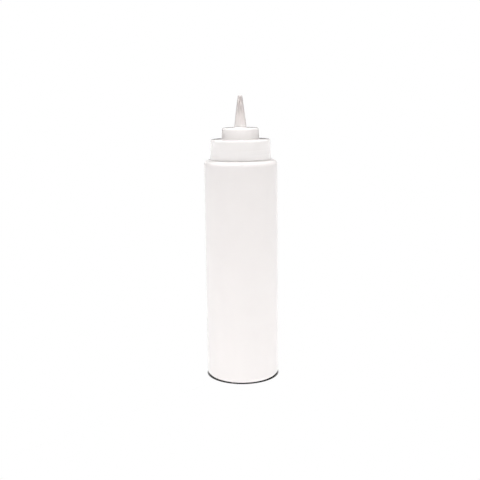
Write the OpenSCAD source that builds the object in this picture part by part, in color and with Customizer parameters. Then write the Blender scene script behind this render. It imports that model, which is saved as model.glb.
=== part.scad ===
// Squeeze bottle for condiments: a soft, straight-sided bottle with a wide threaded
// neck, a stepped screw cap with an open cone nozzle, and a flat seal ring between
// the cap and the bottle's rim.
// The origin is the centre of the ring that the bottle rests on, and +Z is up.

/* [Bottle body] */
// Outer diameter of the body
body_d = 70; // [66:0.5:90]
// Height of the shoulder, where it meets the neck
shoulder_z = 212; // [120:0.5:260]
// Wall thickness of the body
wall = 1.1; // [0.8:0.1:1.6]
// Radius of the heel, where the side turns into the base
heel_r = 4; // [3:0.5:9]
// Radius of the shoulder's outer corner
shoulder_r = 5; // [3:0.5:6]
// Slope of the shoulder, in degrees, falling outwards
shoulder_slope = 8; // [4:1:12]
// Rise of the base's centre above the resting ring
push_up = 4.5; // [2:0.5:8]

/* [Bottle neck] */
// Outer diameter of the neck, under its thread
neck_d = 49.8; // [49:0.1:50]
// Diameter of the open mouth
mouth_d = 46.4; // [46:0.1:46.8]
// Height of the neck above the shoulder
neck_h = 16; // [15:0.5:20]

/* [Thread] */
// Threads per inch of height
threads_per_inch = 6; // [6:1:7]
// Turns of thread on the neck and in the cap
thread_turns = 2; // [1.25:0.25:2]
// Height of the neck's thread ridge
ridge_h = 1.3; // [1:0.1:1.4]

/* [Cap] */
// Outer diameter of the skirt at its lower edge
skirt_d = 58.3; // [57.5:0.1:62]
// Inner diameter of the skirt, under its thread
bore_d = 53.8; // [53.6:0.1:54.4]
// How much narrower the skirt is at its top, for mould draft
skirt_draft = 1.2; // [0:0.1:2]
// Outer diameter of the upper step at its foot
step_d = 36.2; // [30:0.1:42]
// Height of the upper step
step_h = 10.8; // [6:0.1:16]
// Thickness of the flat panels and of the step's wall
panel_t = 1.6; // [1.2:0.1:2]
// Radius of the rounded top edges of the skirt and of the step
edge_round = 1.6; // [0.5:0.1:1.8]
// Fall of both tops towards their edges, in degrees, so that drips run off
crown = 1.2; // [0:0.2:3]

/* [Nozzle] */
// Diameter of the cone at its foot
cone_d = 11.5; // [9:0.1:14]
// Diameter of the cone at its open tip
tip_d = 4.4; // [4:0.1:6]
// Height of the cone
cone_h = 30; // [20:0.5:60]
// Diameter of the outlet
outlet_d = 2.6; // [2:0.1:3]
// Length of the outlet's straight bore
outlet_land = 4; // [2:0.5:6]

/* [Seal] */
// Thickness of the seal ring
seal_t = 1.2; // [0.8:0.1:2]

/* [Hidden] */
$fn = 96;

// Segments of a rounded corner, and of one turn of thread
ARC_STEPS = 8;
THREAD_STEPS = 36;

// Bottle
body_r = body_d / 2;
rest_ring_w = 2.5;
ring_out_r = body_r - heel_r;
ring_in_r = ring_out_r - rest_ring_w;
neck_r = neck_d / 2;
mouth_r = mouth_d / 2;
neck_fillet = 1;
rim_round = 0.5;
rim_z = shoulder_z + neck_h;
// The shoulder falls from the neck's fillet to where its outer corner begins
slope_run = body_r - shoulder_r * (1 - sin(shoulder_slope)) - neck_r - neck_fillet;
corner_z = shoulder_z - slope_run * tan(shoulder_slope) - shoulder_r * cos(shoulder_slope);

// Cap: the skirt's lower edge follows the shoulder's slope just above it, and the panel
// bears on the seal ring
skirt_r = skirt_d / 2;
bore_r = bore_d / 2;
bore_lead = 0.6;
foot_round = 0.2;
skirt_gap = 0.12;
skirt_in_z = shoulder_z + skirt_gap - (bore_r + bore_lead - neck_r - neck_fillet) * tan(shoulder_slope);
skirt_z = skirt_in_z - (skirt_r - foot_round - bore_r - bore_lead) * tan(shoulder_slope);
panel_z = rim_z + seal_t;
ledge_z = panel_z + panel_t;
ledge_r = skirt_r - skirt_draft / 2;
step_r = step_d / 2;
step_draft = 0.5;
step_z = ledge_z + step_h;

// Plug: the short inner collar that centres the cap in the mouth
plug_gap = 0.4;
plug_t = 1.2;
plug_depth = 1.3;
plug_r = mouth_r - plug_gap;

// Nozzle
cone_fillet = 1;
cone_wall = 1.1;
channel_r = cone_d / 2 - cone_wall;
channel_flare = 1;
tip_z = step_z + cone_h;

// Seal ring: it fits round the plug, and stops short of the skirt's thread
seal_in_r = plug_r + 0.2;
seal_out_r = bore_r - 0.4;

// Thread: a ridge's width at its root and crest, and how deep it is buried in its wall
pitch = 25.4 / threads_per_inch;
root_w = 2.1;
crest_w = 0.9;
buried = 0.6;
neck_thread_z = shoulder_z + 3.3;
// The cap's ridge bears on the underside of the neck's ridge, this far below it
bearing_step = 1.6;
cap_crest_r = neck_r + 0.35;

// Points along an arc about [x, z], from one angle to another
function arc(x, z, r, from, to) =
    [for (i = [0:ARC_STEPS])
        let (a = from + (to - from) * i / ARC_STEPS)
        [x + r * cos(a), z + r * sin(a)]];

// Points of a shallow dome, from its crown at [0, z + rise] out to [r, z]
function dome(rise, z, r) =
    let (big_r = (r * r + rise * rise) / (2 * rise))
    arc(0, z + rise - big_r, big_r, 90, 90 - asin(r / big_r));

function reversed(list) = [for (i = [len(list) - 1:-1:0]) list[i]];

// A helical ridge on a round wall, which both of its ends sink into over a tenth of a turn
module thread_ridge(wall_r, crest_r, z) {
    out = sign(crest_r - wall_r);
    root_r = wall_r - out * buried;
    sunk_r = wall_r - out * buried / 2;
    last = round(thread_turns * THREAD_STEPS);
    run_out = THREAD_STEPS / 10;
    points = [for (i = [0:last])
        let (
            a = i * 360 / THREAD_STEPS,
            mid = z + pitch * i / THREAD_STEPS,
            rise = min(1, i / run_out, (last - i) / run_out),
            r = sunk_r + (crest_r - sunk_r) * rise
        )
        for (p = [[root_r, -root_w], [r, -crest_w], [r, crest_w], [root_r, root_w]])
            [p[0] * cos(a), p[0] * sin(a), mid + p[1] / 2]];
    sides = [for (i = [0:last - 1], k = [0:3])
        let (a = 4 * i + k, b = 4 * i + (k + 1) % 4)
        for (face = [[a, b, a + 4], [b, b + 4, a + 4]]) face];
    start = [[0, 3, 2], [0, 2, 1]];
    end = [for (face = start) [for (i = reversed(face)) i + 4 * last]];
    faces = concat(sides, start, end);
    polyhedron(points, out > 0 ? faces : [for (face = faces) reversed(face)]);
}

// Outline of the bottle's wall: up the outside from the base's centre, over the rim,
// and down the inside
function bottle_outline() =
    let (
        corner_r = body_r - shoulder_r,
        square_on = 90 - shoulder_slope,
        down = 270 - shoulder_slope,
        inner_z = shoulder_z - wall / cos(shoulder_slope) + (neck_r - mouth_r) * tan(shoulder_slope)
    )
    concat(
        dome(push_up, 0, ring_in_r),
        arc(ring_out_r, heel_r, heel_r, -90, 0),
        arc(corner_r, corner_z, shoulder_r, 0, square_on),
        arc(neck_r + neck_fillet, shoulder_z + neck_fillet, neck_fillet, down, 180),
        arc(neck_r - rim_round, rim_z - rim_round, rim_round, 0, 90),
        arc(mouth_r + rim_round, rim_z - rim_round, rim_round, 90, 180),
        arc(mouth_r + neck_fillet, inner_z + neck_fillet, neck_fillet, 180, down),
        arc(corner_r, corner_z, shoulder_r - wall, square_on, 0),
        arc(ring_out_r, heel_r, heel_r - wall, 0, -90),
        reversed(dome(push_up, wall, ring_in_r))
    );

// Outline of the cap: up the outside from the skirt's lower edge to the tip, down the
// channel, and along the undersides to the skirt's inner wall
function cap_outline() =
    let (
        step_top_r = step_r - step_draft,
        hollow_r = step_r - panel_t,
        plug_in_r = plug_r - plug_t,
        plug_z = rim_z - plug_depth,
        plug_lead = 0.5,
        ledge_fall = (ledge_r - edge_round - step_r - foot_round) * tan(crown),
        step_fall = (step_top_r - edge_round - cone_d / 2 - cone_fillet) * tan(crown)
    )
    concat(
        arc(skirt_r - foot_round, skirt_z + foot_round, foot_round, -90, 0),
        arc(ledge_r - edge_round, ledge_z - edge_round - ledge_fall, edge_round, 0, 90 - crown),
        arc(step_r + foot_round, ledge_z + foot_round, foot_round, 270 - crown, 180),
        arc(step_top_r - edge_round, step_z - edge_round - step_fall, edge_round, 0, 90 - crown),
        arc(cone_d / 2 + cone_fillet, step_z + cone_fillet, cone_fillet, 270 - crown, 180),
        [
            [tip_d / 2, tip_z],
            [outlet_d / 2, tip_z],
            [outlet_d / 2, tip_z - outlet_land],
            [channel_r, step_z],
            [channel_r + channel_flare, step_z - panel_t],
            [hollow_r - step_draft, step_z - panel_t],
            [hollow_r, panel_z],
            [plug_in_r, panel_z],
            [plug_in_r, plug_z],
            [plug_r - plug_lead, plug_z],
            [plug_r, plug_z + plug_lead],
            [plug_r, panel_z],
            [bore_r, panel_z],
            [bore_r, skirt_in_z + bore_lead],
            [bore_r + bore_lead, skirt_in_z]
        ]
    );

module bottle() {
    color("whitesmoke", 0.6) {
        rotate_extrude() polygon(bottle_outline());
        thread_ridge(neck_r, neck_r + ridge_h, neck_thread_z);
    }
}

module seal_ring() {
    color("gainsboro")
        rotate_extrude()
            translate([seal_in_r, rim_z])
                square([seal_out_r - seal_in_r, seal_t]);
}

module cap() {
    color("white", 0.6) {
        rotate_extrude() polygon(cap_outline());
        thread_ridge(bore_r, cap_crest_r, neck_thread_z - bearing_step);
    }
}

bottle();
seal_ring();
cap();
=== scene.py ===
"""Looks of the squeeze bottle: detailed meshes, plastics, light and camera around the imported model."""
import math

import bpy
from mathutils import Euler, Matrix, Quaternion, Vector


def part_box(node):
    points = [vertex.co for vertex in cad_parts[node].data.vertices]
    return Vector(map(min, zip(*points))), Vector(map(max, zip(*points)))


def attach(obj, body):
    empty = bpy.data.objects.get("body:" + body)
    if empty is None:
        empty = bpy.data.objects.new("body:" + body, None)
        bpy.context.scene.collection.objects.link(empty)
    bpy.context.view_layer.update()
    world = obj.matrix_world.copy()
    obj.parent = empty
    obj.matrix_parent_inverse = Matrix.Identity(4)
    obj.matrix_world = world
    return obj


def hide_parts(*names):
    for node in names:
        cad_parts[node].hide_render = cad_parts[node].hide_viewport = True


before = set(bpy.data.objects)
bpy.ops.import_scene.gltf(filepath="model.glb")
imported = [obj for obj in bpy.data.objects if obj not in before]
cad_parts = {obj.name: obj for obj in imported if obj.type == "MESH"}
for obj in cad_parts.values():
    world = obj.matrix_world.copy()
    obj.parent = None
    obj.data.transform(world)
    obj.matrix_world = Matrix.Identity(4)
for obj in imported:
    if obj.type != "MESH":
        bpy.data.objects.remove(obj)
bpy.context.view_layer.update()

MM = 0.001
TURN = 2 * math.pi

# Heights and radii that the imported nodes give
bottle_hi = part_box("bottle")[1]
cap_lo, cap_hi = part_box("cap")
seal_lo, seal_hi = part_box("seal_ring")
BODY_R = bottle_hi.x
RIM_Z = bottle_hi.z
SKIRT_R = cap_hi.x
SKIRT_Z = cap_lo.z
TIP_Z = cap_hi.z
SEAL_R = seal_hi.x
PANEL_Z = seal_hi.z

# Bottle, as in the CAD model
WALL = 1.1 * MM
HEEL_R = 4 * MM
PUSH_UP = 4.5 * MM
REST_RING_W = 2.5 * MM
SHOULDER_R = 5 * MM
SLOPE_DEG = 8
SLOPE = math.radians(SLOPE_DEG)
NECK_R = 24.9 * MM
MOUTH_R = 23.2 * MM
NECK_H = 16 * MM
NECK_FILLET = 1 * MM
RIM_ROUND = 0.5 * MM
SHOULDER_Z = RIM_Z - NECK_H
RING_OUT_R = BODY_R - HEEL_R
RING_IN_R = RING_OUT_R - REST_RING_W

# Cap, as in the CAD model
SKIRT_DRAFT = 0.6 * MM
BORE_R = 26.9 * MM
BORE_LEAD = 0.6 * MM
STEP_R = 18.1 * MM
STEP_DRAFT = 0.5 * MM
STEP_H = 10.8 * MM
PANEL_T = 1.6 * MM
EDGE_ROUND = 1.6 * MM
FOOT_ROUND = 0.2 * MM
CROWN_DEG = 1.2
CROWN = math.radians(CROWN_DEG)
PLUG_GAP = 0.4 * MM
PLUG_R = MOUTH_R - PLUG_GAP
PLUG_T = 1.2 * MM
PLUG_DEPTH = 1.3 * MM
PLUG_LEAD = 0.5 * MM
SKIRT_IN_Z = SKIRT_Z + (SKIRT_R - FOOT_ROUND - BORE_R - BORE_LEAD) * math.tan(SLOPE)
LEDGE_Z = PANEL_Z + PANEL_T
STEP_Z = LEDGE_Z + STEP_H

# Nozzle, as in the CAD model apart from the bevels on its tip
CONE_R = 5.75 * MM
CONE_FILLET = 1 * MM
CONE_WALL = 1.1 * MM
CHANNEL_FLARE = 1 * MM
TIP_R = 2.2 * MM
TIP_BEVEL_W = 0.25 * MM
TIP_BEVEL_H = 0.3 * MM
OUTLET_R = 1.3 * MM
OUTLET_BEVEL_W = 0.15 * MM
OUTLET_BEVEL_H = 0.2 * MM
OUTLET_LAND = 4 * MM

# Seal ring, as in the CAD model apart from its soft edges
SEAL_GAP = 0.2 * MM
SEAL_ROUND = 0.2 * MM

# Thread, on the CAD model's helix but with softer ridges, and its sink mark on the skirt's outside
PITCH = 25.4 / 6 * MM
THREAD_TURNS = 2
RUN_OUT = 0.12
RIDGE_ROOT = 1.9 * MM
RIDGE_CREST = 0.9 * MM
NECK_RIDGE_H = 1.3 * MM
NECK_THREAD_Z = SHOULDER_Z + 3.3 * MM
THREAD_GAP = 0.35 * MM
BEARING_STEP = 1.6 * MM
CAP_RIDGE_H = BORE_R - NECK_R - THREAD_GAP
CAP_THREAD_Z = NECK_THREAD_Z - BEARING_STEP
SINK_MARK = 0.06 * MM

# The mould's parting line on the bottle: half its width, and how proud it stands
SEAM_W = 0.5 * MM
SEAM_H = 0.1 * MM

# Columns of a lathed mesh, and how far apart its rows are on its straight walls
COLUMNS = 240
DETAIL_STEP = 0.3 * MM
CONE_STEP = 1.5 * MM
PLAIN_STEP = 6 * MM
SHARP_ANGLE = math.radians(35)

# The darkest and lightest tint of each plastic, and noises drawn out up the piece
PLASTIC_TINTS = ((0.975, 0.925, 0.912), (1.0, 0.955, 0.942))
SEAL_TINTS = ((0.72, 0.72, 0.7), (0.8, 0.8, 0.78))
STREAKS = (1, 1, 0.06)
FINE_STREAKS = (1, 1, 0.03)

# How far to both sides of 0.5 most values of a noise lie
NOISE_SPREAD = 0.2
FINE_SPREAD = 0.15

# How clear the cap's tiers and its thin cone are, the painted shade multiplied into the cone's colour at
# its deepest and faintest, which darkens it towards its top in streaks, and the depth of the cone's
# streaks
TIER_CLEAR = 0.28
CONE_CLEAR = 0.5
CONE_SHADE_DEEP = 0.64
CONE_SHADE_FAINT = 0.86
CONE_BUMP = 0.5
CONE_CHANGE_H = 20 * MM

# The colour of the light, and how bright the sky is at each height: 0 at the horizon, 1 straight up
WARM = (1.03, 1.0, 0.99)
SKY = ((0.084, 0), (0.094, 1), (0.19, 1), (0.23, 0.45), (0.45, 0.45), (0.6, 1.1))

# Floor: half its side, the distances between which its glow fades, and the glow before and after.
# A mirror ray sees it a little brighter than the camera does.
FLOOR_HALF = 20
GLOW_FADE = (0.2, 1.2)
GLOW = (1.9, 1.08)
BURNT_OUT = (1, 1.05)

# Contact shadow: from how far and from which side a surface casts it, and how fast it deepens
SHADOW_REACH = 2.2 * MM
SHADOW_SIDE = (0, 0.6, 0.8)
SHADOW_POWER = 4.5

# Camera: its place, how far it is pitched down and rolled, in degrees, and its lens
CAMERA_AT = (-1.4 * MM, -0.75, TIP_Z + 2.4 * MM)
PITCH_DOWN = 9.58
ROLL = -0.65
LENS = 59
SHIFT_Y = -0.03


def arc(r, z, radius, start, end, steps=8):
    """Points of an arc about (r, z), its angles in degrees."""
    angles = [math.radians(start + (end - start) * i / steps) for i in range(steps + 1)]
    return [(r + radius * math.cos(a), z + radius * math.sin(a)) for a in angles]


def wall(start, end, step=DETAIL_STEP):
    """Points of a straight wall between two (r, z), about a step apart."""
    count = max(1, round(math.dist(start, end) / step))
    return [
        (start[0] + (end[0] - start[0]) * i / count, start[1] + (end[1] - start[1]) * i / count)
        for i in range(count + 1)
    ]


def dome(rise, z, radius):
    """Points of a shallow dome, from its crown out to its edge at (radius, z)."""
    big = (radius * radius + rise * rise) / (2 * rise)
    edge = math.degrees(math.asin(radius / big))
    return arc(0, z + rise - big, big, 90, 90 - edge, steps=16)


def smooth_step(x):
    """0 below 0, 1 above 1, and a soft rise between them."""
    x = min(1, max(0, x))
    return x * x * (3 - 2 * x)


def ridge(angle, z, start_z):
    """How proud a helical thread stands at this place, from 0 on the bare wall to 1 on its crest."""
    best = 0
    for lap in range(THREAD_TURNS + 1):
        turn = angle / TURN + lap
        end = min(turn, THREAD_TURNS - turn) / RUN_OUT
        off = abs(z - start_z - PITCH * turn)
        side = (RIDGE_ROOT / 2 - off) / ((RIDGE_ROOT - RIDGE_CREST) / 2)
        best = max(best, smooth_step(side) * smooth_step(end))
    return best


def seam(angle):
    """How proud the parting line stands at this angle, from 0 to 1. It runs up at -X and +X."""
    off = abs(math.sin(angle)) * BODY_R
    return smooth_step(1 - off / SEAM_W)


def column_angles():
    """Even columns, with finer ones on both sides of the parting line."""
    even = [TURN * j / COLUMNS for j in range(COLUMNS)]
    fine = [side + k * SEAM_W / 2 / BODY_R for side in (0, math.pi) for k in (-2, -1, 1, 2)]
    return sorted(even + [angle % TURN for angle in fine])


def ring_faces(low, high, count):
    """Faces between two rings of vertices. A ring of one vertex is a point on the axis."""
    faces = []
    for j in range(count):
        k = (j + 1) % count
        if len(low) == 1:
            faces.append((low[0], high[k], high[j]))
        elif len(high) == 1:
            faces.append((low[j], low[k], high[0]))
        else:
            faces.append((low[j], low[k], high[k], high[j]))
    return faces


def link_mesh(name, vertices, faces):
    """An object of these vertices and faces, in the scene."""
    mesh = bpy.data.meshes.new(name)
    mesh.from_pydata(vertices, [], faces)
    piece = bpy.data.objects.new(name, mesh)
    bpy.context.scene.collection.objects.link(piece)
    return piece


def lathe(name, outline, shape=None, closed=False):
    """A mesh turned about Z from (r, z) points. shape(r, z, angle, i) moves point i of the outline."""
    vertices, rings, faces = [], [], []
    angles = column_angles()
    count = len(angles)
    for i, (r, z) in enumerate(outline):
        if math.isclose(r, 0, abs_tol=1e-7):
            rings.append([len(vertices)])
            vertices.append((0, 0, z))
            continue
        rings.append(list(range(len(vertices), len(vertices) + count)))
        for angle in angles:
            r2, z2 = shape(r, z, angle, i) if shape else (r, z)
            vertices.append((r2 * math.cos(angle), r2 * math.sin(angle), z2))
    pairs = list(zip(rings, rings[1:]))
    if closed:
        pairs.append((rings[-1], rings[0]))
    for low, high in pairs:
        faces += ring_faces(low, high, count)
    piece = link_mesh(name, vertices, faces)
    piece.data.shade_smooth()
    piece.data.set_sharp_from_angle(angle=SHARP_ANGLE)
    piece.data.validate()
    return piece


def bottle_mesh():
    """The bottle: up the outside from the base's centre, over the rim, and down the inside."""
    corner_r = BODY_R - SHOULDER_R
    slope_run = BODY_R - SHOULDER_R * (1 - math.sin(SLOPE)) - NECK_R - NECK_FILLET
    corner_z = SHOULDER_Z - slope_run * math.tan(SLOPE) - SHOULDER_R * math.cos(SLOPE)
    square_on = 90 - SLOPE_DEG
    down = 270 - SLOPE_DEG
    inner_z = SHOULDER_Z - WALL / math.cos(SLOPE) + (NECK_R - MOUTH_R) * math.tan(SLOPE)
    inner_r = BODY_R - WALL
    outline = dome(PUSH_UP, 0, RING_IN_R)
    seam_from = len(outline)
    outline += (
        arc(RING_OUT_R, HEEL_R, HEEL_R, -90, 0, steps=16)[1:]
        + wall((BODY_R, HEEL_R), (BODY_R, corner_z), PLAIN_STEP)[1:-1]
        + arc(corner_r, corner_z, SHOULDER_R, 0, square_on, steps=14)
        + arc(NECK_R + NECK_FILLET, SHOULDER_Z + NECK_FILLET, NECK_FILLET, down, 180, steps=6)[:-1]
    )
    thread_from = len(outline)
    outline += wall((NECK_R, SHOULDER_Z + NECK_FILLET), (NECK_R, RIM_Z - RIM_ROUND))
    thread_to = len(outline)
    outline += (
        arc(NECK_R - RIM_ROUND, RIM_Z - RIM_ROUND, RIM_ROUND, 0, 90, steps=6)[1:]
        + arc(MOUTH_R + RIM_ROUND, RIM_Z - RIM_ROUND, RIM_ROUND, 90, 180, steps=6)
        + arc(MOUTH_R + NECK_FILLET, inner_z + NECK_FILLET, NECK_FILLET, 180, down, steps=6)
        + arc(corner_r, corner_z, SHOULDER_R - WALL, square_on, 0, steps=14)
        + wall((inner_r, corner_z), (inner_r, HEEL_R), PLAIN_STEP)[1:-1]
        + arc(RING_OUT_R, HEEL_R, HEEL_R - WALL, 0, -90, steps=16)
        + dome(PUSH_UP, WALL, RING_IN_R)[::-1]
    )

    def shape(r, z, angle, i):
        if thread_from <= i < thread_to:
            r += NECK_RIDGE_H * ridge(angle, z, NECK_THREAD_Z)
        elif seam_from <= i < thread_from:
            r += SEAM_H * seam(angle)
        return r, z

    return lathe("bottle_shell", outline, shape)


def cap_mesh():
    """The cap: up the outside from the skirt's edge to the tip, down the channel, and back inside."""
    ledge_r = SKIRT_R - SKIRT_DRAFT
    step_top_r = STEP_R - STEP_DRAFT
    ledge_fall = (ledge_r - EDGE_ROUND - STEP_R - FOOT_ROUND) * math.tan(CROWN)
    step_fall = (step_top_r - EDGE_ROUND - CONE_R - CONE_FILLET) * math.tan(CROWN)
    ledge_edge_z = LEDGE_Z - EDGE_ROUND - ledge_fall
    step_edge_z = STEP_Z - EDGE_ROUND - step_fall
    square_on = 90 - CROWN_DEG
    down = 270 - CROWN_DEG
    hollow_r = STEP_R - PANEL_T
    hollow_z = STEP_Z - PANEL_T
    channel_r = CONE_R - CONE_WALL
    plug_in_r = PLUG_R - PLUG_T
    plug_z = RIM_Z - PLUG_DEPTH
    outline = arc(SKIRT_R - FOOT_ROUND, SKIRT_Z + FOOT_ROUND, FOOT_ROUND, -90, 0, steps=5)
    skirt_from = len(outline)
    outline += wall((SKIRT_R, SKIRT_Z + FOOT_ROUND), (ledge_r, ledge_edge_z))[1:-1]
    skirt_to = len(outline)
    outline += (
        arc(ledge_r - EDGE_ROUND, ledge_edge_z, EDGE_ROUND, 0, square_on)
        + arc(STEP_R + FOOT_ROUND, LEDGE_Z + FOOT_ROUND, FOOT_ROUND, down, 180, steps=5)
        + arc(step_top_r - EDGE_ROUND, step_edge_z, EDGE_ROUND, 0, square_on)
        + arc(CONE_R + CONE_FILLET, STEP_Z + CONE_FILLET, CONE_FILLET, down, 180, steps=6)
        + wall((CONE_R, STEP_Z + CONE_FILLET), (TIP_R, TIP_Z - TIP_BEVEL_H), CONE_STEP)[1:]
        + [
            (TIP_R - TIP_BEVEL_W, TIP_Z),
            (OUTLET_R + OUTLET_BEVEL_W, TIP_Z),
            (OUTLET_R, TIP_Z - OUTLET_BEVEL_H),
            (OUTLET_R, TIP_Z - OUTLET_LAND),
            (channel_r, STEP_Z),
            (channel_r + CHANNEL_FLARE, hollow_z),
            (hollow_r - STEP_DRAFT, hollow_z),
            (hollow_r, PANEL_Z),
            (plug_in_r, PANEL_Z),
            (plug_in_r, plug_z),
            (PLUG_R - PLUG_LEAD, plug_z),
            (PLUG_R, plug_z + PLUG_LEAD),
            (PLUG_R, PANEL_Z),
        ]
    )
    thread_from = len(outline)
    outline += wall((BORE_R, PANEL_Z), (BORE_R, SKIRT_IN_Z + BORE_LEAD))
    thread_to = len(outline)
    outline += [(BORE_R + BORE_LEAD, SKIRT_IN_Z)]

    def shape(r, z, angle, i):
        if thread_from <= i < thread_to:
            r -= CAP_RIDGE_H * ridge(angle, z, CAP_THREAD_Z)
        if skirt_from <= i < skirt_to:
            r -= SINK_MARK * ridge(angle, z, CAP_THREAD_Z)
        return r, z

    return lathe("cap_shell", outline, shape, closed=True)


def seal_mesh():
    """A flat ring with soft edges."""
    outer = SEAL_R - SEAL_ROUND
    inner = PLUG_R + SEAL_GAP + SEAL_ROUND
    low = seal_lo.z + SEAL_ROUND
    high = seal_hi.z - SEAL_ROUND
    outline = []
    for quarter, (r, z) in enumerate(((outer, low), (outer, high), (inner, high), (inner, low))):
        start = 90 * quarter - 90
        outline += arc(r, z, SEAL_ROUND, start, start + 90, steps=4)
    return lathe("seal_washer", outline, closed=True)


def set_inputs(node, inputs):
    """Sets the values of a node's inputs by name."""
    for name, value in inputs.items():
        node.inputs[name].default_value = value


def add_node(tree, kind, inputs=None, **settings):
    """A shader node with its settings, and the values of its inputs by name."""
    node = tree.nodes.new("ShaderNode" + kind)
    for name, value in settings.items():
        setattr(node, name, value)
    set_inputs(node, inputs or {})
    return node


def new_material(name):
    """A new material, with its node tree and its main shader."""
    material = bpy.data.materials.new(name)
    material.use_nodes = True
    return material, material.node_tree, material.node_tree.nodes["Principled BSDF"]


def add_noise(tree, scale, stretch=(1, 1, 1), detail=3):
    """A noise on the piece's own coordinates, scale in cycles a metre."""
    coordinates = add_node(tree, "TexCoord")
    mapping = add_node(tree, "Mapping", {"Scale": stretch})
    noise = add_node(tree, "TexNoise", {"Scale": scale, "Detail": detail})
    tree.links.new(coordinates.outputs["Object"], mapping.inputs["Vector"])
    tree.links.new(mapping.outputs["Vector"], noise.inputs["Vector"])
    return noise.outputs["Fac"]


def add_map(tree, value, source, target):
    """A node that takes a value from the range source, as (low, high), to the range target."""
    limits = {
        "From Min": source[0],
        "From Max": source[1],
        "To Min": target[0],
        "To Max": target[1],
    }
    node = add_node(tree, "MapRange", limits)
    tree.links.new(value, node.inputs["Value"])
    return node


def around_half(spread):
    """The range that reaches this far to both sides of 0.5."""
    return (0.5 - spread, 0.5 + spread)


def add_tint(tree, value, tints):
    """A noise's values as colours between two tints."""
    ramp = add_node(tree, "ValToRGB")
    for stop, position, tint in zip(ramp.color_ramp.elements, around_half(NOISE_SPREAD), tints):
        stop.position = position
        stop.color = (*tint, 1)
    tree.links.new(value, ramp.inputs["Fac"])
    return ramp.outputs["Color"]


def add_bump(tree, height, distance, strength, below=None):
    """A node that bumps the surface by height, on top of the normal below it."""
    bump = add_node(tree, "Bump", {"Distance": distance, "Strength": strength})
    tree.links.new(height, bump.inputs["Height"])
    if below:
        tree.links.new(below, bump.inputs["Normal"])
    return bump


def milky_plastic(name, rough, ripples):
    """Natural polyethylene: a milky wall that light soaks through, with faint streaks and a satin skin."""
    material, tree, shader = new_material(name)
    streaks = add_noise(tree, scale=90, stretch=STREAKS, detail=4)
    cloud = add_noise(tree, scale=35)
    grain = add_noise(tree, scale=1500, detail=2)
    satin = add_map(tree, streaks, around_half(NOISE_SPREAD), rough)
    ripple = add_bump(tree, streaks, distance=0.2 * MM, strength=ripples)
    skin = add_bump(tree, grain, distance=0.02 * MM, strength=0.2, below=ripple.outputs["Normal"])
    tree.links.new(add_tint(tree, cloud, PLASTIC_TINTS), shader.inputs["Base Color"])
    tree.links.new(satin.outputs["Result"], shader.inputs["Roughness"])
    tree.links.new(skin.outputs["Normal"], shader.inputs["Normal"])
    set_inputs(shader, {
        "Transmission Weight": 0.35,
        "Subsurface Weight": 1,
        "Subsurface Radius": (1, 1, 1),
        "Subsurface Scale": 2.2 * MM,
        "IOR": 1.51,
        "Coat Weight": 0.5,
        "Coat Roughness": 0.12,
    })
    return material


def add_rise(tree, height, foot, top):
    """A value that goes from foot at the cone's foot to top two thirds of the way up."""
    return add_map(tree, height, (STEP_Z, STEP_Z + CONE_CHANGE_H), (foot, top)).outputs["Result"]


def paint_cone_shade(tree, shader, height, drawn):
    """Paints shade into the base colour, darker up the cone and in streaks."""
    shade = add_map(tree, drawn, around_half(FINE_SPREAD), (0, 1))
    tree.links.new(add_rise(tree, height, 1, CONE_SHADE_DEEP), shade.inputs["To Min"])
    tree.links.new(add_rise(tree, height, 1, CONE_SHADE_FAINT), shade.inputs["To Max"])
    # The painted shade multiplies the plain colour
    colour = add_node(tree, "Mix", data_type="RGBA", blend_type="MULTIPLY")
    colour.inputs["Factor"].default_value = 1
    plain = shader.inputs["Base Color"].links[0].from_socket
    tree.links.new(plain, colour.inputs["A"])
    tree.links.new(shade.outputs["Result"], colour.inputs["B"])
    tree.links.new(colour.outputs["Result"], shader.inputs["Base Color"])


def cap_plastic():
    """The cap's plastic, clearer in the thin cone than in the thick tiers, and streaked there, with
    painted shade that darkens the cone's colour towards its tip.
    """
    material = milky_plastic("cap_plastic", rough=(0.07, 0.09), ripples=0.02)
    tree = material.node_tree
    shader = tree.nodes["Principled BSDF"]
    coordinates = add_node(tree, "TexCoord")
    split = add_node(tree, "SeparateXYZ")
    tree.links.new(coordinates.outputs["Object"], split.inputs["Vector"])
    height = split.outputs["Z"]
    drawn = add_noise(tree, scale=900, stretch=FINE_STREAKS, detail=1)
    # Painted shade: the cone's colour is darkened towards its tip, in streaks
    paint_cone_shade(tree, shader, height, drawn)
    clear = add_rise(tree, height, TIER_CLEAR, CONE_CLEAR)
    tree.links.new(clear, shader.inputs["Transmission Weight"])
    skin = shader.inputs["Normal"].links[0].from_socket
    streaks = add_bump(tree, drawn, distance=0.15 * MM, strength=1, below=skin)
    tree.links.new(add_rise(tree, height, 0, CONE_BUMP), streaks.inputs["Strength"])
    tree.links.new(streaks.outputs["Normal"], shader.inputs["Normal"])
    return material


def seal_rubber():
    """Soft white silicone with a faint bloom."""
    material, tree, shader = new_material("seal_rubber")
    bloom = add_noise(tree, scale=250)
    satin = add_map(tree, bloom, around_half(NOISE_SPREAD), (0.5, 0.65))
    tree.links.new(add_tint(tree, bloom, SEAL_TINTS), shader.inputs["Base Color"])
    tree.links.new(satin.outputs["Result"], shader.inputs["Roughness"])
    return material


def place(piece, node, material):
    """Puts a piece in a CAD node's place, with its material."""
    piece.data.materials.append(material)
    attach(piece, node)
    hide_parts(node)


def floor_glow(tree):
    """The floor's own light, which fades away from the object."""
    coordinates = add_node(tree, "TexCoord")
    off = add_node(tree, "VectorMath", operation="LENGTH")
    lit = add_map(tree, off.outputs["Value"], GLOW_FADE, GLOW)
    lit.interpolation_type = "SMOOTHSTEP"
    glow = add_node(tree, "Emission", {"Color": (*WARM, 1)})
    tree.links.new(coordinates.outputs["Object"], off.inputs[0])
    tree.links.new(lit.outputs["Result"], glow.inputs["Strength"])
    return glow.outputs["Emission"]


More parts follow.
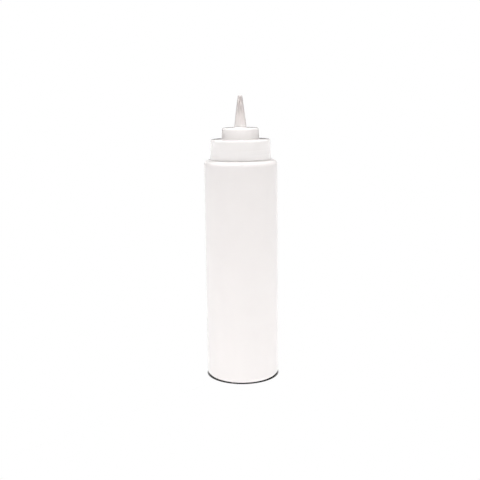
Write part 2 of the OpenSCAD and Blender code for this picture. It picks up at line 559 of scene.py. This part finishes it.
def floor_burnt_out(tree, mirror_ray):
    """Plain white, with a narrow shadow where the object meets the floor."""
    side = add_node(tree, "CombineXYZ", dict(zip("XYZ", SHADOW_SIDE)))
    shut = add_node(tree, "AmbientOcclusion", {"Distance": SHADOW_REACH}, samples=8)
    deep = add_node(tree, "Math", operation="POWER")
    deep.inputs[1].default_value = SHADOW_POWER
    bright = add_map(tree, mirror_ray, (0, 1), BURNT_OUT)
    burnt = add_node(tree, "Emission")
    tree.links.new(side.outputs["Vector"], shut.inputs["Normal"])
    tree.links.new(shut.outputs["AO"], deep.inputs[0])
    tree.links.new(deep.outputs["Value"], burnt.inputs["Color"])
    tree.links.new(bright.outputs["Result"], burnt.inputs["Strength"])
    return burnt.outputs["Emission"]


def add_floor():
    """A light table, which the camera and mirror rays see burnt out to white."""
    square = ((-1, -1), (1, -1), (1, 1), (-1, 1))
    corners = [(x * FLOOR_HALF, y * FLOOR_HALF, 0) for x, y in square]
    floor = link_mesh("floor", corners, [(0, 1, 2, 3)])
    material, tree, shader = new_material("floor")
    tree.nodes.remove(shader)
    path = add_node(tree, "LightPath")
    mirror_ray = path.outputs["Is Glossy Ray"]
    either = add_node(tree, "Math", operation="MAXIMUM")
    seen = add_node(tree, "MixShader")
    tree.links.new(path.outputs["Is Camera Ray"], either.inputs[0])
    tree.links.new(mirror_ray, either.inputs[1])
    tree.links.new(either.outputs["Value"], seen.inputs["Fac"])
    tree.links.new(floor_glow(tree), seen.inputs[1])
    tree.links.new(floor_burnt_out(tree, mirror_ray), seen.inputs[2])
    tree.links.new(seen.outputs["Shader"], tree.nodes["Material Output"].inputs["Surface"])
    floor.data.materials.append(material)


def add_world():
    """A plain white backdrop, and for the light a room with dim walls, bright low down and overhead."""
    world = bpy.data.worlds.new("studio")
    world.use_nodes = True
    bpy.context.scene.world = world
    tree = world.node_tree
    coordinates = add_node(tree, "TexCoord")
    split = add_node(tree, "SeparateXYZ")
    light = add_node(tree, "ValToRGB")
    stops = light.color_ramp.elements
    stops.remove(stops[1])
    stops[0].position = 0
    stops[0].color = (0, 0, 0, 1)
    for height, value in SKY:
        stops.new(height).color = (*[value * part for part in WARM], 1)
    path = add_node(tree, "LightPath")
    seen = add_node(tree, "Mix", data_type="RGBA")
    seen.inputs["B"].default_value = (1, 1, 1, 1)
    tree.links.new(coordinates.outputs["Generated"], split.inputs["Vector"])
    tree.links.new(split.outputs["Z"], light.inputs["Fac"])
    tree.links.new(path.outputs["Is Camera Ray"], seen.inputs["Factor"])
    tree.links.new(light.outputs["Color"], seen.inputs["A"])
    tree.links.new(seen.outputs["Result"], tree.nodes["Background"].inputs["Color"])


def add_sun(name, strength, angle, tilt, heading):
    """A lamp that spans angle, tilted away from straight down and turned about Z, all in degrees."""
    data = bpy.data.lights.new(name, "SUN")
    data.energy = strength
    data.color = WARM
    data.angle = math.radians(angle)
    lamp = bpy.data.objects.new(name, data)
    lamp.rotation_euler = (math.radians(tilt), 0, math.radians(heading))
    bpy.context.scene.collection.objects.link(lamp)


def add_camera():
    """A camera in front of the object, about level with the nozzle's tip and pitched down."""
    data = bpy.data.cameras.new("camera")
    data.sensor_width = 36
    data.lens = LENS
    data.shift_y = SHIFT_Y
    data.clip_start = 0.01
    data.clip_end = 100
    camera = bpy.data.objects.new("camera", data)
    camera.location = CAMERA_AT
    pitch = Euler((math.radians(90 - PITCH_DOWN), 0, 0)).to_quaternion()
    camera.rotation_mode = "QUATERNION"
    camera.rotation_quaternion = pitch @ Quaternion((0, 0, 1), math.radians(ROLL))
    bpy.context.scene.collection.objects.link(camera)
    bpy.context.scene.camera = camera


add_camera()
bottle_plastic = milky_plastic("bottle_plastic", rough=(0.29, 0.36), ripples=0.05)
place(bottle_mesh(), "bottle", bottle_plastic)
place(cap_mesh(), "cap", cap_plastic())
place(seal_mesh(), "seal_ring", seal_rubber())
add_floor()
add_world()
add_sun("ceiling", strength=2.7, angle=30, tilt=0, heading=10)
add_sun("front_fill", strength=0.58, angle=90, tilt=80, heading=10)
add_sun("side_lamp", strength=0.18, angle=6, tilt=70, heading=-60)
bpy.context.scene.view_settings.view_transform = "Standard"
